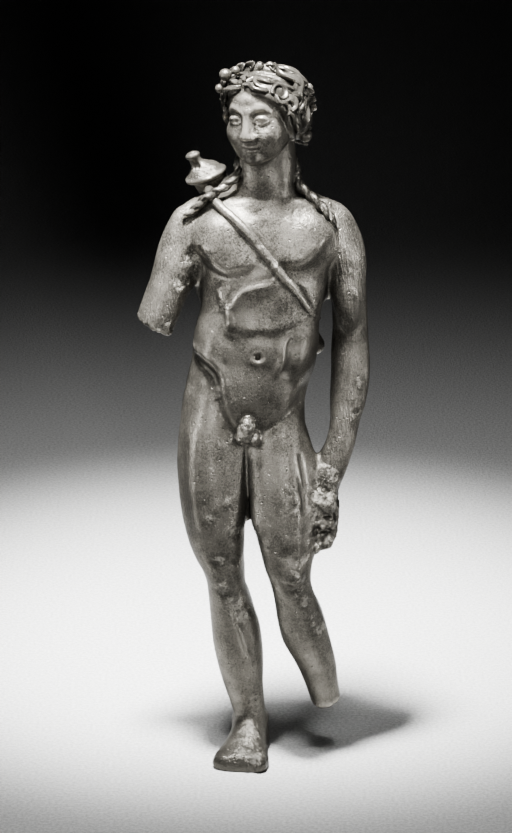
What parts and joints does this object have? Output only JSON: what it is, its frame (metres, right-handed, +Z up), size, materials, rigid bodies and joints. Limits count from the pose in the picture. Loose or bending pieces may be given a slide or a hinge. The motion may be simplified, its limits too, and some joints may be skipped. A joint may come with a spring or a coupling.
{
  "type": "bronze apollo statuette",
  "caption": "Small solid cast bronze statuette of a nude standing archer god with a quiver on its back, broken at the right arm and left ankle.",
  "frame": {"origin": "on the ground, at the middle of the sole of the standing foot", "axes": "+Z up, -Y the way the figure faces, +X the figure's left side"},
  "size_m": [0.0507, 0.0261, 0.1582],
  "materials": {
    "bronze": "dark patinated bronze, rubbed bright on the shoulders and hair, pitted and corroded in patches"
  },
  "bodies": {
    "root": {"apollo_statuette": "bronze"}
  },
  "joints": []
}
